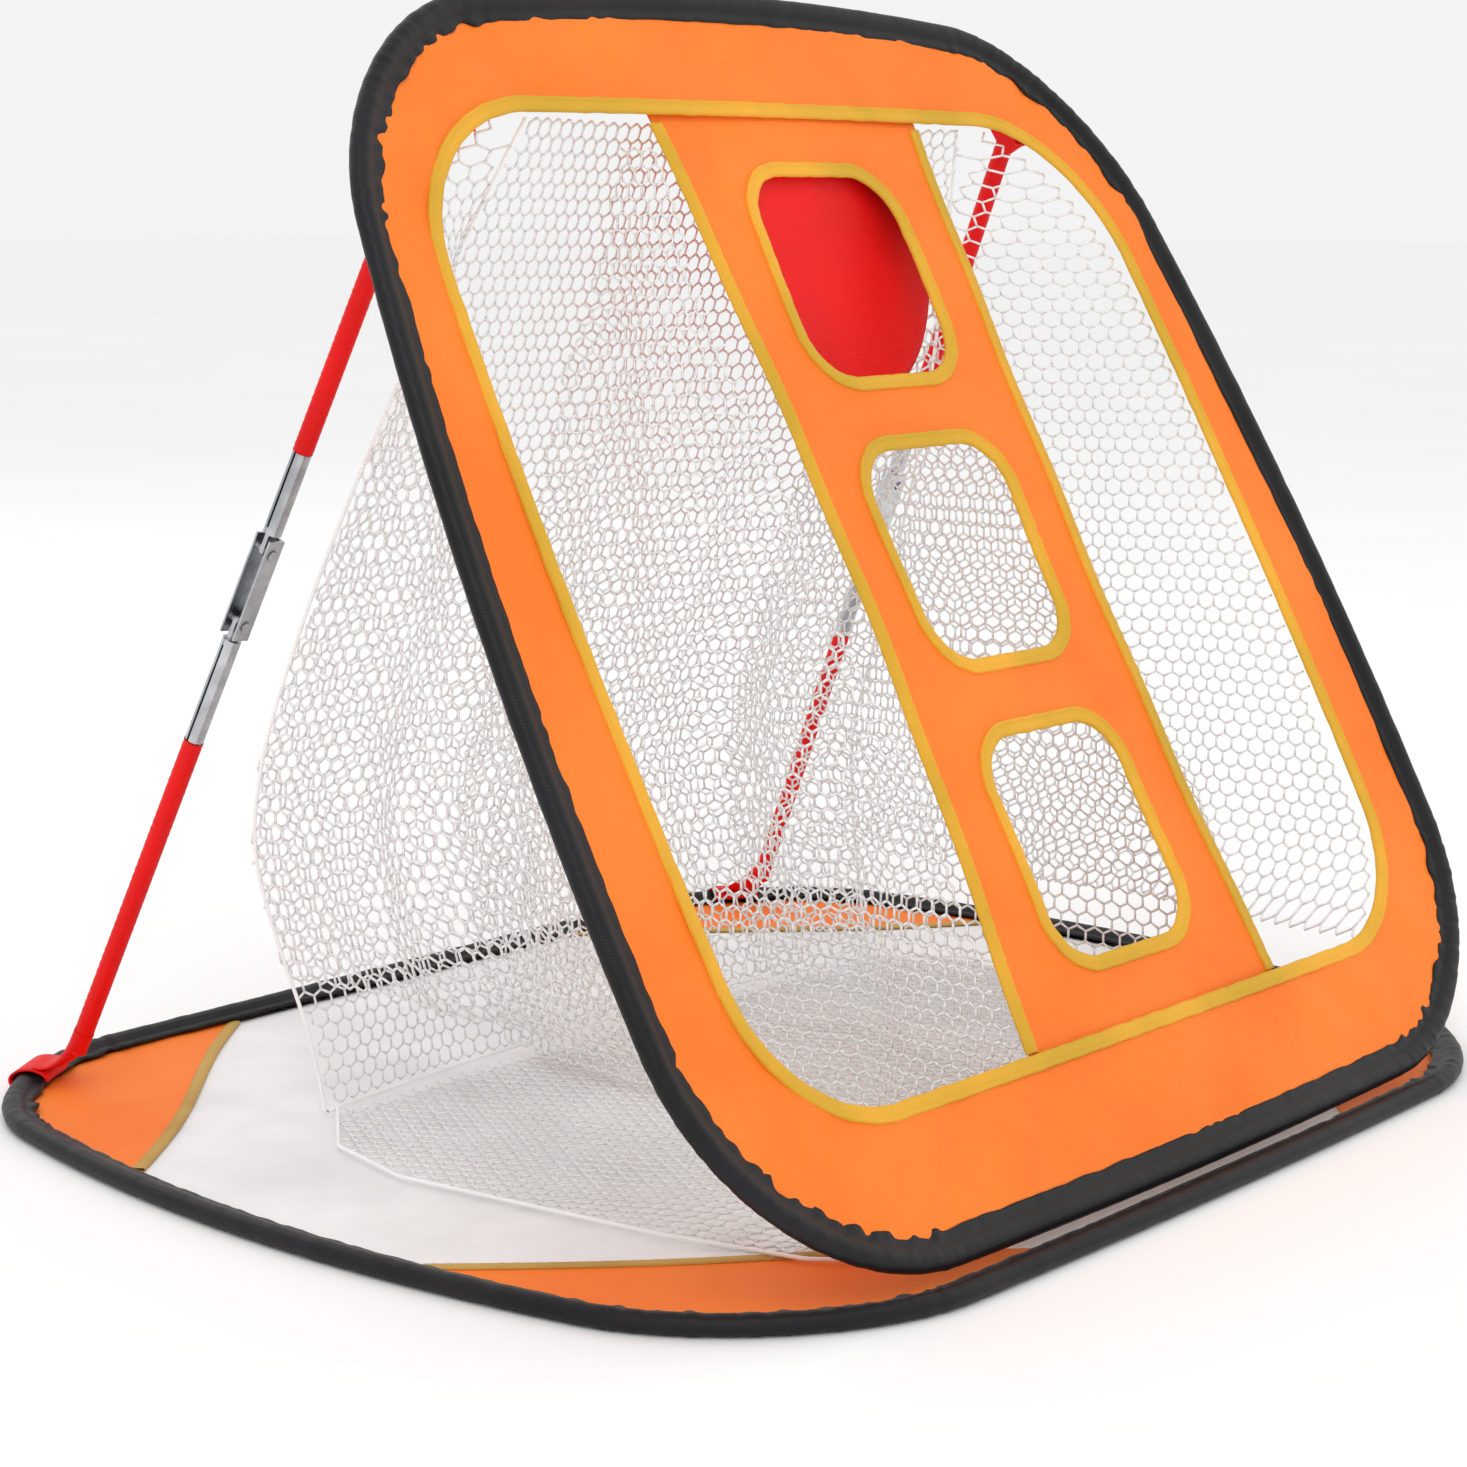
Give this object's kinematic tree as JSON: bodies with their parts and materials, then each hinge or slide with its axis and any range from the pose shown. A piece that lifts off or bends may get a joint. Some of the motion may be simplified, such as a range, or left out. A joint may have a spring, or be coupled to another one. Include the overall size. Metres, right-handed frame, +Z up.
{
  "type": "golf chipping net",
  "caption": "Pop-up chipping target: leaning fabric panel with target holes and a netting bag, on a hinged base hoop with two folding struts.",
  "frame": {"origin": "on the ground under the middle of the base sleeve's front run, halfway across", "axes": "+X to the right of a golfer who faces the target, +Y away from the golfer, +Z up"},
  "size_m": [0.65, 0.524, 0.5109],
  "materials": {
    "orange_fabric": "woven polyester, satin",
    "yellow_binding": "woven tape",
    "black_sleeve": "coated polyester, satin",
    "red_fabric": "woven polyester",
    "white_fabric": "woven polyester",
    "white_netting": "knotless polyester net, hexagonal cells",
    "spring_steel": "tempered, oiled",
    "zinc_steel": "zinc plated",
    "glass_fibre": "pultruded glass fibre"
  },
  "bodies": {
    "base": {"base_hoop_wire": "spring_steel", "base_hoop_crimp": "zinc_steel", "base_sleeve": "black_sleeve", "base_floor": "white_fabric", "rear_left_corner_panel": "orange_fabric", "front_left_corner_panel": "orange_fabric", "rear_right_corner_panel": "orange_fabric", "front_right_corner_panel": "orange_fabric", "rear_left_corner_hem": "yellow_binding", "front_left_corner_hem": "yellow_binding", "rear_right_corner_hem": "yellow_binding", "front_right_corner_hem": "yellow_binding", "hinge_seam": "black_sleeve", "left_foot_strap": "red_fabric", "right_foot_strap": "red_fabric", "net_back": "white_netting", "net_floor": "white_netting", "net_left_side": "white_netting", "net_left_divider": "white_netting", "net_right_side": "white_netting", "net_right_divider": "white_netting"},
    "front_panel": {"front_hoop_wire": "spring_steel", "front_hoop_crimp": "zinc_steel", "front_sleeve": "black_sleeve", "front_panel_fabric": "orange_fabric", "opening_binding": "yellow_binding", "target_strip": "orange_fabric", "strip_binding_left": "yellow_binding", "strip_binding_right": "yellow_binding", "target_binding_bottom": "yellow_binding", "target_binding_middle": "yellow_binding", "target_binding_top": "yellow_binding", "left_corner_tab": "red_fabric", "right_corner_tab": "red_fabric"},
    "target_flap": {"red_target_flap": "red_fabric"},
    "left_lower_strut": {"left_lower_rod": "glass_fibre", "left_lower_sleeve": "red_fabric", "left_lower_ferrule": "zinc_steel"},
    "left_link": {"left_link_channel": "zinc_steel", "left_link_lower_pin": "zinc_steel", "left_link_upper_pin": "zinc_steel"},
    "left_upper_strut": {"left_upper_ferrule": "zinc_steel", "left_upper_rod": "glass_fibre", "left_upper_sleeve": "red_fabric"},
    "right_lower_strut": {"right_lower_rod": "glass_fibre", "right_lower_sleeve": "red_fabric", "right_lower_ferrule": "zinc_steel"},
    "right_link": {"right_link_channel": "zinc_steel", "right_link_lower_pin": "zinc_steel", "right_link_upper_pin": "zinc_steel"},
    "right_upper_strut": {"right_upper_ferrule": "zinc_steel", "right_upper_rod": "glass_fibre", "right_upper_sleeve": "red_fabric"}
  },
  "joints": [
    {"name": "panel_fold", "type": "hinge", "parent": "base", "child": "front_panel", "pos_m": [0, 0.0099, 0.007], "axis": [1, 0, 0], "range_deg": [-57, 0], "deforming": ["net_back", "net_floor", "net_left_side", "net_left_divider", "net_right_side", "net_right_divider", "red_target_flap"]},
    {"name": "flap_swing", "type": "hinge", "parent": "front_panel", "child": "target_flap", "pos_m": [0.016, 0.24955, 0.43213], "axis": [1, 0, 0], "range_deg": [-9, 45], "stiffness_Nm_per_rad": 0.02},
    {"name": "left_foot_swing", "type": "hinge", "parent": "base", "child": "left_lower_strut", "pos_m": [-0.247, 0.4695, 0.016], "axis": [1, 0, 0], "range_deg": [-112, 0]},
    {"name": "left_link_lower", "type": "hinge", "parent": "left_lower_strut", "child": "left_link", "pos_m": [-0.22578, 0.36959, 0.23015], "axis": [0, -0.9062, -0.4228], "range_deg": [0, 90]},
    {"name": "left_link_upper", "type": "hinge", "parent": "left_link", "child": "left_upper_strut", "pos_m": [-0.22256, 0.35443, 0.26264], "axis": [0, -0.9062, -0.4228], "range_deg": [0, 90]},
    {"name": "right_foot_swing", "type": "hinge", "parent": "base", "child": "right_lower_strut", "pos_m": [0.247, 0.4695, 0.016], "axis": [1, 0, 0], "range_deg": [-112, 0]},
    {"name": "right_link_lower", "type": "hinge", "parent": "right_lower_strut", "child": "right_link", "pos_m": [0.22578, 0.36959, 0.23015], "axis": [0, 0.9062, 0.4228], "range_deg": [0, 90]},
    {"name": "right_link_upper", "type": "hinge", "parent": "right_link", "child": "right_upper_strut", "pos_m": [0.22256, 0.35443, 0.26264], "axis": [0, 0.9062, 0.4228], "range_deg": [0, 90]}
  ],
  "couplings": [
    {"joint": "left_foot_swing", "follows": "panel_fold", "ratio": 1.96},
    {"joint": "left_link_upper", "follows": "left_link_lower", "ratio": 1},
    {"joint": "right_foot_swing", "follows": "panel_fold", "ratio": 1.96},
    {"joint": "right_link_upper", "follows": "right_link_lower", "ratio": 1}
  ]
}
